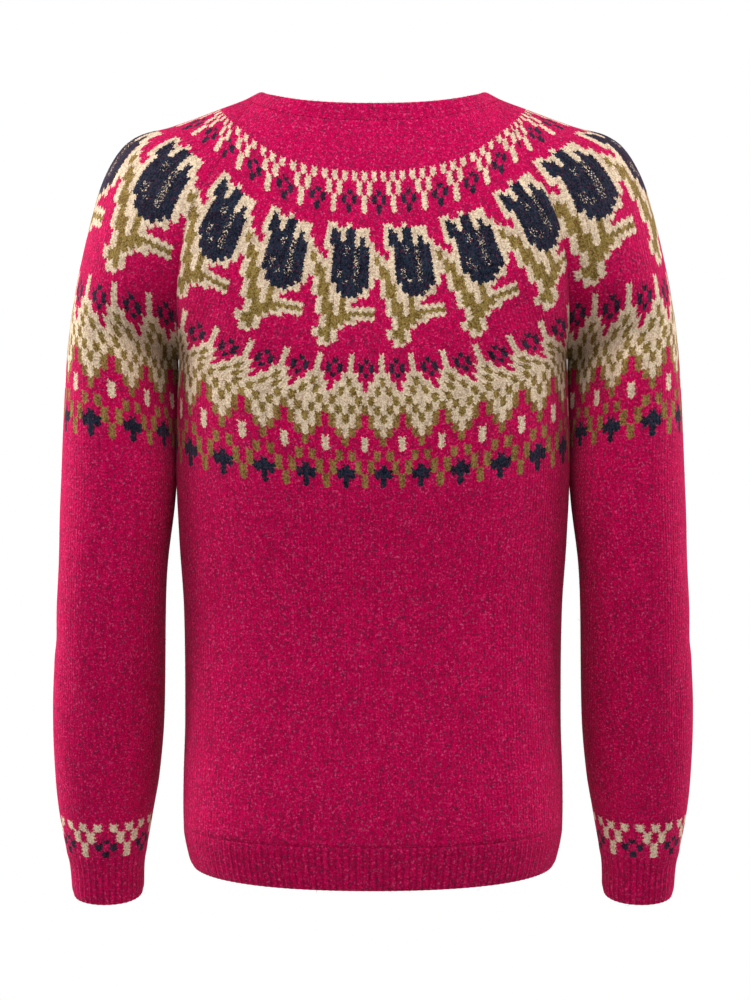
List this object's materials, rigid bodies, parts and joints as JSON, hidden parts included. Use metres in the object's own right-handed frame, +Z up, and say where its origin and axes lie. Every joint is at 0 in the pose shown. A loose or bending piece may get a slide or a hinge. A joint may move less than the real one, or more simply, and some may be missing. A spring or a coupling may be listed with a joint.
{
  "type": "knitted pullover",
  "caption": "Worn knitted pullover with raglan sleeves, a ribbed crew neck, ribbed cuffs and hem, and a colour-work yoke, hollow and open at neck, cuffs and hem.",
  "frame": {"origin": "midway between the two shoulder points of the neck edge, where the wearer's neck and shoulders carry the pullover", "axes": "+Z up the wearer, +X to the wearer's right, +Y to the wearer's front, so the back faces -Y"},
  "size_m": [0.5022, 0.243, 0.6364],
  "materials": {
    "wool": "brushed heather wool knit",
    "rib_wool": "ribbed heather wool knit"
  },
  "bodies": {
    "root": {"back": "wool", "front": "wool", "sleeve_right": "wool", "sleeve_left": "wool", "neckband": "rib_wool", "hem_rib_back": "rib_wool", "hem_rib_front": "rib_wool", "cuff_right": "rib_wool", "cuff_left": "rib_wool"}
  },
  "joints": []
}
